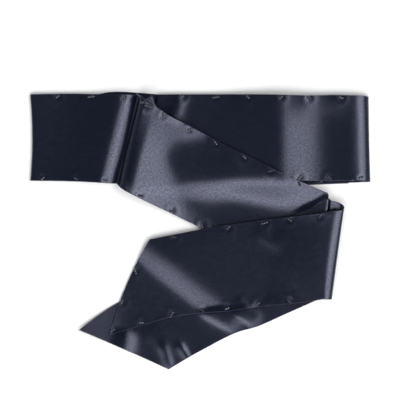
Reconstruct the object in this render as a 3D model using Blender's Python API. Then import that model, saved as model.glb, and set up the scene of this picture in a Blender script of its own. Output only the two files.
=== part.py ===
"""Satin sash cummerbund, doubled at its middle and folded flat in a zigzag.

The sash is one long strip. Its middle fold is at the left end of the band, and from there two plies run
together: right along the bottom of the band, back left over it, over the left crease and slantwise down
across the band, and over the right-hand roll into the two free ends.
Each stretch that shows is a wall of cloth, lofted through sections that lie across the sash.
Lengths are in millimetres, +X to the right, +Y away, +Z up, and the sash rests on z = 0.
"""

import bpy
import numpy as np

MM = 0.001

PLY = 1.2  # thickness of one ply: two faces of satin with their turned edges
AIR = 0.6  # air between plies
PITCH = PLY + AIR
EDGE_ROUND = 0.3  # how far a turned edge stands out past its two faces

FEW_ACROSS, MANY_ACROSS = 7, 13  # points across the sash in each section of a plain and of a draped stretch
LONG_STEP, SHORT_STEP = 24.0, 10.0  # spacing of the sections along such a stretch
TURN_STEPS = 7  # sections round a rolled fold

# Sections of each stretch, in order along it.
# Columns: upper edge x, upper edge y, lower edge x, lower edge y, bow of the section along the stretch.
UNDER_PLY = (
    (-213.5, 174.4, -213.5, 64.4, 2.6),
    (-165.0, 175.0, -167.0, 63.7, 0.0),
    (-131.0, 174.9, -131.0, 62.0, 0.0),
    (-122.0, 176.8, -122.0, 61.4, 0.0),
    (-76.0, 176.6, -76.0, 60.2, 0.0),
    (-52.0, 174.6, -52.0, 59.8, 0.0),
    (50.0, 172.6, 50.0, 59.2, 0.0),
    (140.0, 172.0, 140.0, 59.2, 0.0),
    (190.0, 171.8, 190.0, 61.0, 0.0),
)
LOWER_RUN = (
    (-213.5, 174.8, -213.5, 64.4, 2.6),
    (-165.0, 175.6, -167.0, 63.7, 0.0),
    (-131.0, 175.0, -134.0, 62.3, 0.0),
    (-84.0, 174.2, -110.0, 60.8, 0.0),
    (-59.0, 173.8, -85.0, 60.6, 0.0),
)
UPPER_RUN = (
    (-53.0, 174.7, -79.0, 64.7, 0.0),
    (0.0, 174.8, -10.0, 64.6, 0.0),
    (96.0, 174.5, 90.0, 64.6, 0.0),
    (141.0, 173.4, 140.0, 64.6, 0.0),
    (190.0, 174.2, 190.0, 64.7, 0.0),
    (207.0, 173.0, 208.5, 65.4, -0.6),
)
CROSSING = (
    (-75.5, 168.8, -101.5, 54.2, 0.0),
    (-59.6, 160.3, -84.0, 45.3, 0.0),
    (-40.6, 148.2, -62.0, 34.5, 0.0),
    (-16.1, 135.6, -36.0, 22.2, 0.0),
    (20.6, 116.0, 3.8, 2.6, 0.0),
    (76.8, 88.4, 62.0, -25.5, 0.0),
    (117.5, 67.6, 106.0, -47.5, 0.0),
    (140.0, 58.6, 130.0, -62.0, 0.0),
    (160.5, 49.6, 150.5, -81.0, 0.0),
)
# Its second ply shows a corner past the upper edge at the left crease.
# Columns: which section of the crossing, then x and y of the second ply's upper edge there.
CORNER = (
    (0, -73.0, 171.8),
    (1, -66.0, 173.8),
    (2, -60.0, 172.0),
)
UNDER_INSET = 0.8  # how far the second ply's edges lie inside the top ply's
UNDER_START = 3.0  # how far inside the left roll its own roll lies
UNDER_END = 147.0  # x of its upper edge where the outer tail's ply takes over, hidden
OUTER_FLOOR = (
    (147.0, 55.2, 136.8, -66.5, 0.0),
    (163.7, 47.1, 151.5, -81.0, 0.0),
    (176.0, 38.6, 163.0, -84.0, 1.5),
)
INNER_TAIL = (
    (159.5, 39.2, 148.5, -88.6, 0.0),
    (145.2, 31.4, 135.0, -94.7, 0.0),
    (121.6, 20.5, 110.0, -105.9, 0.0),
    (80.0, 0.2, 74.8, -121.6, 0.0),
    (30.0, -24.3, 46.0, -130.2, 0.0),
    (-30.0, -53.7, 4.0, -151.5, 0.0),
    (-78.0, -77.2, -16.0, -162.6, 0.0),
    (-116.0, -98.4, -29.0, -170.3, 0.0),
    (-155.0, -126.6, -40.1, -177.0, -0.6),
)
OUTER_TAIL = (
    (175.6, 27.2, 163.3, -86.2, 2.0),
    (155.9, 23.2, 142.0, -89.7, 0.0),
    (113.9, 17.9, 110.0, -93.4, 0.0),
    (77.3, 13.4, 73.7, -96.9, 0.0),
    (51.2, 9.9, 40.0, -102.0, 0.0),
    (5.1, 2.8, -1.0, -105.2, 0.0),
    (-28.0, -3.5, -40.0, -110.8, 1.0),
    (-48.0, -7.4, -80.0, -122.3, 3.0),
    (-64.4, -10.6, -116.3, -133.4, 4.5),
)

# The two plies hidden between the lower and the upper run.
# Columns: x at the upper and at the lower edge, then the upper and lower edge's y of the ply below, and above.
BAND_LAYERS = (
    (-47.0, -74.0, 173.4, 61.0, 174.0, 65.4),
    (50.0, 42.0, 172.0, 60.2, 174.0, 65.3),
    (140.0, 140.0, 171.4, 60.2, 172.6, 65.3),
    (203.0, 203.5, 170.8, 62.2, 172.0, 66.0),
)
# Their edge in profile, from the bottom up. Columns: how far in it lies, share of the height, which ply.
LAYER_EDGE = (
    (0.6, 0.0, 0),
    (0.0, 0.2, 0),
    (0.6, 0.42, 0),
    (3.2, 0.5, 1),
    (0.6, 0.58, 1),
    (0.0, 0.8, 1),
    (0.6, 1.0, 1),
)
LAYERS_AIR = 0.9  # room under the upper run, whose sections lie elsewhere along the roll
LAYERS_END = 7.5  # length of their rounded end, inside the right-hand roll
LAYERS_END_ANGLES = (25.0, 50.0, 72.0)  # where its sections lie round that end

# The left crease, where the strip comes over: its two ends, upper then lower.
LEFT_CREASE = ((-82.0, 172.0), (-108.8, 60.0))

# Rolled folds. Columns: how far the roll stands out past its last section, at the upper and the lower edge.
MIDDLE_FOLD = (3.6, 3.4)
RIGHT_FOLD = (8.2, 9.2)
LEFT_ROLL = (5.6, 5.0)
LEFT_ROLL_UNDER = (3.6, 3.4)
INNER_ROLL = (4.6, 4.0)
OUTER_ROLL = (9.2, 5.6)

SEAM_ANGLE = 22.0  # the two stretches of the inner roll part this far either side of its outermost line
TUCK = 12.0  # how far a rolled ply runs on, hidden, under the stretch above

# A strip that turns over a slanting fold slides along it.
# How much further up the sash the ply below the roll lies than the ply above it.
RIGHT_SLIDE = -2.6
LEFT_SLIDE = 4.4
LEFT_SLIDE_UNDER = 2.0

# A ply that leaves the stack comes down to the table over these lengths.
BAND_FOOT = 60.0  # y where the crossing begins to leave the band
DROP_OFF_BAND = 36.0
DROP_OFF_CROSSING = 34.0
DROP_OFF_TAIL = 20.0
SLANT = 0.9  # cosine of the slant of the crossing's and the inner tail's edges
EDGE_MARGIN = 2.0  # the drop begins this far past the edge

# Swells of the cloth: how high they stand, and how long they take to die away.
CREASE_PUFF_UNDER = 4.6
CREASE_PUFF_EXTRA = 0.9
INNER_PUFF, INNER_PUFF_LENGTH = (2.6, 1.0), 45.0  # at the roll's upper and lower end
OUTER_PUFF, OUTER_PUFF_LENGTH = (3.6, 1.6), 60.0

SATIN = (0.0125, 0.0165, 0.0300)
SATIN_ROUGHNESS = 0.38


def level(number):
    """Height of the middle of a flat ply, counted from 1 on the table."""
    return PLY / 2 + (number - 1) * PITCH


def ease(share):
    """A soft step from 0 to 1."""
    share = np.clip(share, 0.0, 1.0)
    return share * share * (3 - 2 * share)


def past_crease(x, y):
    """Distance to the right of the left crease."""
    (x0, y0), (x1, y1) = LEFT_CREASE
    length = np.hypot(x1 - x0, y1 - y0)
    return ((y0 - y1) * (x - x0) + (x1 - x0) * (y - y0)) / length


def lower_run_height(x, y):
    """The top ply at the left, which swells up just before the crease and at the middle fold."""
    swell_height, swell_place, swell_width = 3.2, -24.0, 13.0
    fold_puff, fold_reach = 1.8, 16.0
    swell = swell_height * np.exp(-(((past_crease(x, y) - swell_place) / swell_width) ** 2))
    puff = fold_puff * (1 - ease((x - LOWER_RUN[0][0]) / fold_reach))
    return level(2) + swell + puff


def upper_run_height(x, y):
    """The upper run, with one wide soft roll across it and a swell into the right-hand fold."""
    roll_height, roll_place, roll_width = 5.6, 99.0, 34.0
    end_puff, end_start, end_length = 2.0, 150.0, 55.0
    roll = roll_height * np.exp(-(((x - roll_place) / roll_width) ** 2))
    return level(4) + roll + end_puff * ease((x - end_start) / end_length)


def crease_puff(x, y, height):
    """The soft swell behind the left crease, which dies away to the right."""
    start, length = 6.0, 62.0
    return height * (1 - ease((past_crease(x, y) - start) / length))


def crossing_under_height(x, y):
    """The crossing's lower ply: on the upper run, then down to the table past the band's foot."""
    on_band = ease((y - BAND_FOOT + DROP_OFF_BAND) / DROP_OFF_BAND)
    rest = level(1) + (upper_run_height(x, y) + PITCH - level(1)) * on_band
    return rest + crease_puff(x, y, CREASE_PUFF_UNDER)


def crossing_height(x, y):
    """The crossing's top ply, a little further from the lower one at the left crease."""
    return crossing_under_height(x, y) + PITCH + crease_puff(x, y, CREASE_PUFF_EXTRA)


def roll_puff(x, y, rows, heights, length):
    """The swell of a right-hand roll, which dies away to the left. heights: at its upper and lower end."""
    top_x, top_y, bottom_x, bottom_y = rows[0][:4]
    share = np.clip((top_y - y) / (top_y - bottom_y), 0.0, 1.0)
    fold_x = top_x + (bottom_x - top_x) * share
    height = heights[0] + (heights[1] - heights[0]) * share
    return height * (1 - ease((fold_x - x) / length))


def inner_tail_height(x, y):
    """The lower end: on the crossing near the roll, then down to the table."""
    edge = np.array([row[2:4] for row in CROSSING])
    beyond = np.interp(x, edge[:, 0], edge[:, 1]) - y
    on_crossing = 1 - ease((beyond * SLANT - EDGE_MARGIN) / DROP_OFF_CROSSING)
    rest = level(1) + (crossing_height(x, y) + PITCH - level(1)) * on_crossing
    return rest + roll_puff(x, y, INNER_TAIL, INNER_PUFF, INNER_PUFF_LENGTH)


def slanting_swell(x, y):
    """The soft fold that slants down across the outer tail."""
    height, half_length, half_width = 3.4, 75.0, 22.0
    middle_x, middle_y, lean = 0.0, -55.0, np.radians(-32.0)
    along = (x - middle_x) * np.cos(lean) + (y - middle_y) * np.sin(lean)
    aside = (y - middle_y) * np.cos(lean) - (x - middle_x) * np.sin(lean)
    return height * np.exp(-((along / half_length) ** 4) - (aside / half_width) ** 2)


def outer_tail_height(x, y):
    """The upper end: over the lower one, and down past that one's upper edge."""
    edge = np.array([row[0:2] for row in INNER_TAIL])[::-1]
    beyond = y - np.interp(x, edge[:, 0], edge[:, 1])
    on_inner = 1 - ease((beyond * SLANT - EDGE_MARGIN) / DROP_OFF_TAIL)
    over = inner_tail_height(x, y) + PITCH * on_inner
    return over + roll_puff(x, y, OUTER_TAIL, OUTER_PUFF, OUTER_PUFF_LENGTH) + slanting_swell(x, y)


def sections(rows, height, step=SHORT_STEP, across=MANY_ACROSS):
    """A grid of points (along, across, xyz): a smooth curve through the rows, one section each step."""
    rows = np.array(rows)
    middle = (rows[:, 0:2] + rows[:, 2:4]) / 2
    knots = np.concatenate(([0.0], np.cumsum(np.hypot(*np.diff(middle, axis=0).T))))
    count = max(2, int(round(knots[-1] / step)) + 1)
    at = np.linspace(0.0, knots[-1], count)
    slopes = np.gradient(rows, knots, axis=0)
    k = np.clip(np.searchsorted(knots, at, side="right") - 1, 0, len(rows) - 2)
    span = (knots[k + 1] - knots[k])[:, None]
    t = (at - knots[k])[:, None] / span
    row = (
        (1 + 2 * t) * (1 - t) ** 2 * rows[k]
        + t * (1 - t) ** 2 * span * slopes[k]
        + t**2 * (3 - 2 * t) * rows[k + 1]
        + t**2 * (t - 1) * span * slopes[k + 1]
    )
    upper, lower = row[:, None, 0:2], row[:, None, 2:4]
    v = np.linspace(0.0, 1.0, across)[None, :, None]
    along = np.stack((upper[..., 1] - lower[..., 1], lower[..., 0] - upper[..., 0]), axis=-1)
    heading = np.gradient((row[:, 0:2] + row[:, 2:4]) / 2, axis=0)[:, None]
    along *= np.sign((along * heading).sum(axis=-1, keepdims=True))
    along /= np.linalg.norm(along, axis=-1, keepdims=True)
    plan = upper + (lower - upper) * v + along * row[:, None, 4:5] * 4 * v * (1 - v)
    return np.dstack((plan, height(plan[..., 0], plan[..., 1])))


def turn(bottom, top, reach, start=-90.0, end=90.0, side=1.0):
    """Sections round a rolled fold, from the ply below to the ply above.

    bottom and top are the sections where the roll begins and ends. side is 1 for a roll that stands out
    to the right and -1 to the left. The roll is half an ellipse, and reach is its half width at each edge.
    """
    across = top[-1, :2] - top[0, :2]
    out = np.array([-across[1], across[0]]) / np.hypot(*across)
    out *= side * np.sign(out[0])
    width = np.linspace(reach[0], reach[1], len(top))[:, None]
    rings = []
    for angle in np.radians(np.linspace(start, end, TURN_STEPS + 1)):
        share = (1 + np.sin(angle)) / 2
        ring = bottom + (top - bottom) * share
        ring[:, :2] += out * width * np.cos(angle)
        rings.append(ring)
    return np.array(rings)


def tuck(section, side):
    """Two flat sections that lead up to a roll from under the stretch above."""
    far = section.copy()
    far[:, 0] -= side * TUCK
    return np.array([far, (far + section) / 2])


def at_level(section, number, slide):
    """The section below a roll: flat on its own level of the stack, and slid along the fold."""
    flat = section.copy()
    flat[:, 1] += slide
    flat[:, 2] = level(number)
    return flat


def satin(name):
    material = bpy.data.materials.new(name + "_satin")
    material.use_nodes = True
    shader = material.node_tree.nodes["Principled BSDF"]
    shader.inputs["Base Color"].default_value = (*SATIN, 1.0)
    shader.inputs["Roughness"].default_value = SATIN_ROUGHNESS
    shader.inputs["Metallic"].default_value = 0.0
    material.diffuse_color = (*SATIN, 1.0)
    return material


def add_object(name, points, faces):
    mesh = bpy.data.meshes.new(name)
    mesh.from_pydata((points * MM).tolist(), [], faces)
    mesh.shade_smooth()
    mesh.set_sharp_from_angle(angle=np.radians(40))
    mesh.materials.append(satin(name))
    thing = bpy.data.objects.new(name, mesh)
    bpy.context.scene.collection.objects.link(thing)


def unit(vectors):
    return vectors / np.linalg.norm(vectors, axis=-1, keepdims=True)


def both_sides(rows, columns):
    """Triangles of a wall's two grids. Each square is cut the same way, so that plies keep their distance."""
    faces = []
    other_side = rows * columns
    for i in range(rows - 1):
        for j in range(columns - 1):
            a = i * columns + j
            b, c, d = a + columns, a + columns + 1, a + 1
            for triangle in ((a, b, c), (a, c, d)):
                faces.append(list(triangle))
                faces.append([other_side + n for n in reversed(triangle)])
    return faces


def rim_indices(rows, columns):
    """Grid indices round the rim, in one loop."""
    near = list(range(columns))
    right = [i * columns + columns - 1 for i in range(1, rows)]
    far = [(rows - 1) * columns + j for j in range(columns - 2, -1, -1)]
    left = [i * columns for i in range(rows - 2, 0, -1)]
    return near + right + far + left


def cloth(name, grid):
    """A closed wall of cloth, PLY thick, on both sides of a grid of points, with rounded edges."""
    along, across = np.gradient(grid, axis=0), np.gradient(grid, axis=1)
    normal = unit(np.cross(across, along))
    if normal[..., 2].sum() < 0:
        normal = -normal
    rows, columns = grid.shape[:2]
    top, bottom = grid + normal * PLY / 2, grid - normal * PLY / 2
    outward = np.zeros_like(grid)
    outward[:, 0] -= unit(across[:, 0])
    outward[:, -1] += unit(across[:, -1])
    outward[0] -= unit(along[0])
    outward[-1] += unit(along[-1])
    rim = rim_indices(rows, columns)
    edge = (grid + outward * EDGE_ROUND).reshape(-1, 3)[rim]
    size = rows * columns
    points = np.concatenate((top.reshape(-1, 3), bottom.reshape(-1, 3), edge))
    faces = both_sides(rows, columns)
    for n, here in enumerate(rim):
        after = rim[(n + 1) % len(rim)]
        mid, mid_after = 2 * size + n, 2 * size + (n + 1) % len(rim)
        faces.append([here, after, mid_after, mid])
        faces.append([mid, mid_after, size + after, size + here])
    add_object(name, points, facing_out(points, faces))


def facing_out(points, faces):
    """The faces, all turned over if the body they close is inside out."""
    volume = 0.0
    for face in faces:
        for a, b in zip(face[1:-1], face[2:]):
            volume += np.dot(points[face[0]], np.cross(points[a], points[b]))
    return faces if volume > 0 else [face[::-1] for face in faces]


def build_lower_run():
    """The lower run: its under ply on the table, the middle fold at the left and its top ply."""
    under = sections(UNDER_PLY, lambda x, y: np.full_like(x, level(1)), LONG_STEP, FEW_ACROSS)
    top = sections(LOWER_RUN, lower_run_height, SHORT_STEP, FEW_ACROSS)
    roll = turn(under[0], top[0], MIDDLE_FOLD, side=-1.0)
    cloth("lower_run", np.concatenate((under[:0:-1], roll, top[1:])))


def build_upper_run():
    """The upper run, and the roll at the right end that takes it down to the table."""
    top = sections(UPPER_RUN, upper_run_height, SHORT_STEP, FEW_ACROSS)
    floor = at_level(top[-1], 1, RIGHT_SLIDE)
    roll = turn(floor, top[-1], RIGHT_FOLD)
    cloth("upper_run", np.concatenate((tuck(floor, 1.0), roll, top[-2::-1])))


def build_crossing():
    """The crossing's top ply, from under the left crease to the outermost line of the inner roll."""
    top = sections(CROSSING, crossing_height)
    under = at_level(top[0], 3, LEFT_SLIDE)
    roll = turn(under, top[0], LEFT_ROLL, side=-1.0)
    tail_start = sections(INNER_TAIL, inner_tail_height)[0]
    end = turn(top[-1], tail_start, INNER_ROLL, end=-SEAM_ANGLE)
    cloth("crossing", np.concatenate((tuck(under, -1.0), roll, top[1:-1], end)))


def build_crossing_under():
    """The crossing's second ply, inside the left roll and under the top ply, on the same sections."""
    plan = sections(CROSSING, crossing_height)
    plan = plan[plan[:, 0, 0] < UNDER_END]
    width = unit(plan[:, -1] - plan[:, 0])
    plan[:, 0] += width * UNDER_INSET
    plan[:, -1] -= width * UNDER_INSET
    plan[0, :, 0] += UNDER_START
    for section, x, y in CORNER:
        plan[section, 0, :2] = x, y
    top = np.dstack((plan[..., :2], crossing_under_height(plan[..., 0], plan[..., 1])))
    under = at_level(top[0], 4, LEFT_SLIDE_UNDER)
    roll = turn(under, top[0], LEFT_ROLL_UNDER, side=-1.0)
    cloth("crossing_under", np.concatenate((tuck(under, -1.0), roll, top[1:])))


def build_inner_tail():
    """The lower end, from the outermost line of the inner roll to its slanting cut."""
    top = sections(INNER_TAIL, inner_tail_height)
    crossing_end = sections(CROSSING, crossing_height)[-1]
    start = turn(crossing_end, top[0], INNER_ROLL, start=SEAM_ANGLE)
    cloth("inner_tail", np.concatenate((start, top[1:])))


def build_outer_tail():
    """The upper end: from under the crossing, round the open outer roll, to its slanting cut."""
    floor = sections(OUTER_FLOOR, crossing_under_height)
    top = sections(OUTER_TAIL, outer_tail_height)
    roll = turn(floor[-1], top[0], OUTER_ROLL)
    cloth("outer_tail", np.concatenate((floor[:-1], roll, top[1:])))


def layer_ring(x_upper, x_lower, edges, bottom, top):
    """One section through the hidden layers: its edge at the far side, then at the near side."""
    ring = []
    for inset, share, ply in LAYER_EDGE:
        ring.append((x_upper, edges[2 * ply] - inset, bottom + (top - bottom) * share))
    for inset, share, ply in reversed(LAYER_EDGE):
        ring.append((x_lower, edges[2 * ply + 1] + inset, bottom + (top - bottom) * share))
    return ring


def build_band_layers():
    """The hidden layers of the band: one solid, layered at its edges and rounded at the inner fold."""
    rows = np.array(BAND_LAYERS)
    count = int((rows[-1, 0] - rows[0, 0]) / SHORT_STEP) + 1
    rings = []
    for x in np.linspace(rows[0, 0], rows[-1, 0], count):
        row = [np.interp(x, rows[:, 0], column) for column in rows.T]
        bottom = level(2) - PLY / 2
        top = upper_run_height(x, 0.0) - PLY / 2 - LAYERS_AIR
        rings.append(layer_ring(row[0], row[1], row[2:], bottom, top))
    middle = (bottom + top) / 2
    for angle in np.radians(LAYERS_END_ANGLES):
        past, half = LAYERS_END * np.sin(angle), (top - bottom) / 2 * np.cos(angle)
        rings.append(layer_ring(row[0] + past, row[1] + past, row[2:], middle - half, middle + half))
    size = len(rings[0])
    faces = [list(range(size)), list(range((len(rings) - 1) * size, len(rings) * size))[::-1]]
    for i in range(len(rings) - 1):
        for j in range(size):
            after = (j + 1) % size
            faces.append([i * size + j, (i + 1) * size + j, (i + 1) * size + after, i * size + after])
    points = np.array(rings).reshape(-1, 3)
    add_object("band_layers", points, facing_out(points, faces))


def main():
    for thing in list(bpy.data.objects):
        bpy.data.objects.remove(thing, do_unlink=True)
    build_lower_run()
    build_upper_run()
    build_band_layers()
    build_crossing()
    build_crossing_under()
    build_inner_tail()
    build_outer_tail()


main()
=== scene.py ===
"""The folded satin sash as it looks: fine cloth for each stretch, the sewn beads, and the studio.

Every stretch of cloth is one wall, worked out with numpy on a grid that runs along and across the sash.
Its plan comes from the same sections as the solids, and its height from the plies below it, rolled folds,
soft swells, creases and the small pucker round each group of beads.
Lengths in the tables are in millimetres: +X to the right, +Y away, +Z up, resting on z = 0.
"""

import bpy
import numpy as np
from bpy.props import FloatProperty, FloatVectorProperty, IntProperty, PointerProperty
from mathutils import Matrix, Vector


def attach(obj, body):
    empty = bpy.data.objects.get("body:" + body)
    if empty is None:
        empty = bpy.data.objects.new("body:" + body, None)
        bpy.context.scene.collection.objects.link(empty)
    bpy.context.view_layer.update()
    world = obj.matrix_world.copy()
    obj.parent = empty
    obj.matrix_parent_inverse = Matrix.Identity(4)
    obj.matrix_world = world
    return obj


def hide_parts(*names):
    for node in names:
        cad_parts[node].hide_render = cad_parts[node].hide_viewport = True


bl_info = {
    "name": "Folded satin sash",
    "version": (1, 0, 0),
    "blender": (4, 5, 0),
    "location": "View3D > Sidebar > Sash",
    "description": "Builds a beaded satin sash cummerbund, folded flat, and its studio",
    "category": "Add Mesh",
}

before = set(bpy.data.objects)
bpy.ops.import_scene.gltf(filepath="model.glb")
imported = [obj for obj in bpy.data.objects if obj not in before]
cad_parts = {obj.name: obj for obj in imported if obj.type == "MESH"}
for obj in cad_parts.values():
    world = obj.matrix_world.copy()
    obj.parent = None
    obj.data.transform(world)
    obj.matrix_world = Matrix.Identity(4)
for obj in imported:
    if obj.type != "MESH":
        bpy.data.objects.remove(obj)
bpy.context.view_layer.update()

MM = 0.001

# A ply's room in the stack and the air above it, and the cloth's own thickness.
PLY, AIR = 1.2, 0.6
PITCH = PLY + AIR
THICKNESS = 0.7
# The blunt rim: how far it stands out, as a share of half the thickness, and its rings. The first and last
# columns and rows are narrow, as shares of the width and of a step, so the shading turns close to the edge.
RIM, RIM_RINGS = 0.3, 3
EDGE_STRIP, END_STRIP = 0.0015, 0.1

# Sections of each stretch. Columns: upper edge x, y, lower edge x, y, bow of the section along the stretch.
UNDER_PLY = (
    (-213.5, 174.4, -213.5, 64.4, 2.6),
    (-165.0, 175.0, -167.0, 63.7, 0.0),
    (-131.0, 174.9, -131.0, 62.0, 0.0),
    (-122.0, 176.8, -122.0, 61.4, 0.0),
    (-76.0, 176.6, -76.0, 60.2, 0.0),
    (-52.0, 174.6, -52.0, 59.8, 0.0),
    (50.0, 172.6, 50.0, 59.2, 0.0),
    (140.0, 172.0, 140.0, 59.2, 0.0),
    (190.0, 171.8, 190.0, 61.0, 0.0),
)
LOWER_RUN = (
    (-213.5, 174.8, -213.5, 64.4, 2.6),
    (-165.0, 175.6, -167.0, 63.7, 0.0),
    (-131.0, 175.0, -134.0, 62.3, 0.0),
    (-84.0, 174.2, -110.0, 60.8, 0.0),
    (-59.0, 173.8, -85.0, 60.6, 0.0),
)
UPPER_RUN = (
    (-53.0, 174.7, -79.0, 64.7, 0.0),
    (0.0, 174.8, -10.0, 64.6, 0.0),
    (96.0, 174.5, 90.0, 64.6, 0.0),
    (141.0, 173.4, 140.0, 64.6, 0.0),
    (180.0, 174.0, 180.0, 64.7, 0.0),
    (192.5, 173.6, 193.5, 65.0, -0.4),
)
CROSSING = (
    (-67.3, 164.4, -91.0, 48.9, 0.0),
    (-54.0, 157.0, -77.5, 42.0, 0.0),
    (-40.6, 148.2, -62.0, 34.5, 0.0),
    (-16.1, 135.6, -36.0, 22.2, 0.0),
    (20.6, 116.0, 3.8, 2.6, 0.0),
    (76.8, 88.4, 62.0, -25.5, 0.0),
    (117.5, 67.6, 106.0, -47.5, 0.0),
    (140.0, 58.6, 130.0, -62.0, 0.0),
    (160.5, 49.6, 150.5, -81.0, 0.0),
)
# The second ply's corner at the left crease. Columns: distance along the ply from its roll, and its upper
# edge's x and y there. The corner's pull dies away across the ply by this power.
CORNER = (
    (0.0, -70.5, 168.0),
    (5.4, -66.0, 171.0),
    (10.8, -61.0, 173.4),
    (14.4, -59.8, 168.0),
    (18.0, -57.2, 160.4),
    (25.2, -44.9, 151.0),
)
CORNER_POWER = 6
# The second ply lies inside the top one's edges, starts further right over a length, and ends at an x.
UNDER_INSET = 0.8
UNDER_START, UNDER_START_LENGTH = 3.0, 12.0
UNDER_END = 147.0
OUTER_FLOOR = (
    (147.0, 55.2, 136.8, -66.5, 0.0),
    (158.7, 47.1, 146.5, -81.0, 0.0),
    (168.0, 38.6, 156.0, -84.0, 1.5),
)
INNER_TAIL = (
    (159.5, 39.2, 148.5, -88.6, 0.0),
    (145.2, 31.4, 135.0, -94.7, 0.0),
    (121.6, 20.5, 110.0, -105.9, 0.0),
    (80.0, 0.2, 74.8, -121.6, 0.0),
    (30.0, -24.3, 46.0, -130.2, 0.0),
    (-30.0, -53.7, 4.0, -151.5, 0.0),
    (-78.0, -77.2, -16.0, -162.6, 0.0),
    (-116.0, -98.4, -29.0, -170.3, 0.0),
    (-155.0, -126.6, -40.1, -177.0, -0.6),
)
OUTER_TAIL = (
    (169.0, 26.0, 157.0, -87.0, 2.0),
    (155.9, 23.2, 142.0, -89.7, 0.0),
    (113.9, 17.9, 110.0, -93.4, 0.0),
    (77.3, 13.4, 73.7, -96.9, 0.0),
    (51.2, 9.9, 40.0, -102.0, 0.0),
    (5.1, 2.8, -1.0, -105.2, 0.0),
    (-28.0, -3.5, -40.0, -110.8, 1.0),
    (-48.0, -7.4, -80.0, -122.3, 3.0),
    (-64.4, -10.6, -116.3, -133.4, 4.5),
)
# The two plies between the runs. Columns: x at the upper and lower edge, their y below, and their y above.
BAND_LAYERS = (
    (-47.0, -74.0, 173.4, 61.0, 174.0, 65.4),
    (50.0, 42.0, 172.0, 60.2, 174.0, 65.3),
    (140.0, 140.0, 171.4, 60.2, 172.6, 65.3),
    (199.0, 199.5, 170.8, 62.2, 172.0, 66.0),
)

# The left crease, where the strip comes over: its two ends, upper then lower.
LEFT_CREASE = ((-82.0, 172.0), (-108.8, 60.0))

# Rolled folds: how far the roll stands out past its last section, at even steps from the upper edge down.
MIDDLE_FOLD = (3.6, 3.4)
RIGHT_FOLD = (22.9, 24.1)
LAYERS_FOLD = (9.5, 9.5)
LEFT_ROLL = (14.0, 14.6, 15.2, 16.6, 17.6)
LEFT_ROLL_UNDER = (12.2, 12.8, 13.4, 14.8, 15.8)
LEFT_ROLL_WAY = (-0.885, 0.465)
INNER_ROLL = (4.6, 4.0)
OUTER_ROLL = (15.8, 11.9)
# A slumped roll: the height of its foot, and how much of its shoulder falls away softly.
SLUMP_FOOT, SLUMP_SHOULDER = 0.1, 0.35
# Sections round a roll: a small one, the outer tail's, the right-hand one, and those at the left crease.
SMALL_STEPS, OUTER_STEPS, RIGHT_STEPS, LEFT_STEPS = 18, 26, 28, 40
# How far a ply runs in under the stretch above before its roll, and in how many sections.
RIGHT_TUCK, LEFT_TUCK, TUCK_STEPS = 12.0, 9.0, 4
# Angle off the level at which two stretches meet in the inner roll.
SEAM_ANGLE = 22.0
# How far the ply below a roll is slid along the fold.
RIGHT_SLIDE = -2.6
LEFT_SLIDE, LEFT_SLIDE_UNDER = 4.4, 2.0

# Bends of the height along a direction. Columns: place, change of slope, over how long a stretch.
SWELL_BENDS = ((-75.0, 0.155, 8.0), (-20.0, -0.325, 2.4), (-7.0, -0.42, 1.4), (4.0, 0.59, 0.8))
UPPER_BENDS = ((20.0, 0.10, 10.0), (101.5, -0.243, 4.5), (158.0, 0.200, 8.0), (197.0, -0.057, 4.0))
HOLLOW_BEND = (24.0, 0.175, 4.5)
CREST_BENDS = ((-22.5, 0.165, 1.8),)
END_BENDS = ((149.0, 0.24, 2.5), (161.0, 0.30, 1.8))

# How high the left end of the lower run stands, and over what length that dies away.
LEFT_PUFF, LEFT_PUFF_LENGTH = 3.2, 125.0

# The crossing's hollow. Its axis starts at the left, rises at a slope for a length, and falls from an x.
HOLLOW_END = (-17.0, 88.0)
HOLLOW_RISE, HOLLOW_FALL = (0.18, 41.0), (0.46, 25.0)
# Below the axis it reaches further right, from a soft start, and bends more softly, down to a distance.
HOLLOW_SLANT, HOLLOW_FOOT = 0.5, 6.0
HOLLOW_SOFTER, HOLLOW_SOFTEST = 0.12, 60.0
# Above the axis it is wider to the right: by what share, from x, over how far.
HOLLOW_TOP = (0.4, -5.0, 30.0)
# How far the crossing's plies part, as a share of the hollow's height.
PLIES_PART = 0.08

# How the crossing lifts just under the raised edge of the end that lies on it: from x, over how far in x,
# over how far beyond that edge, how high, and from where inside that edge, over how far, it settles again.
LIFT = (112.0, 28.0, 9.5, 2.3, 4.0, 22.0)
# The inner tail follows the band's slopes only up to this y.
TAIL_LEVEL = 22.0

# The slanting fold of the outer tail: a point on its lower side, and the bearing of that side.
SLANT_LINE = (-53.8, -60.6, -38.0)
SLANT_BENDS = ((0.0, 0.205, 2.6), (24.0, -0.215, 6.0), (36.0, -0.045, 8.0), (80.0, 0.055, 8.0))
TIP_BENDS = ((98.0, 0.10, 6.0),)

# How a ply goes down to the table past the band's foot: over what length, shorter by so much near an x over
# a width, and longer by a slope past another x, with its rounding at the top and at the table.
BAND_FOOT = 62.0
DROP_OFF_BAND = 25.0
DROP_SHORTER = (8.0, 45.0, 32.0)
DROP_LONGER = (0.13, 80.0)
DROP_ROUNDING = (4.0, 6.5)
# How the ends go down past the edges that they lie over. A distance in y is nearly square to those edges.
DROP_OFF_CROSSING, DROP_OFF_TAIL = 105.0, 95.0
SLANT = 0.9
EDGE_MARGIN = 2.0
CREASE_FADE = 12.0
# The swell of the right-hand rolls at their upper and lower end, and over what length it dies away.
INNER_PUFF, INNER_PUFF_LENGTH = (7.0, 3.6), 72.0
OUTER_PUFF, OUTER_PUFF_LENGTH = (2.6, 3.2), 80.0
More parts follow.
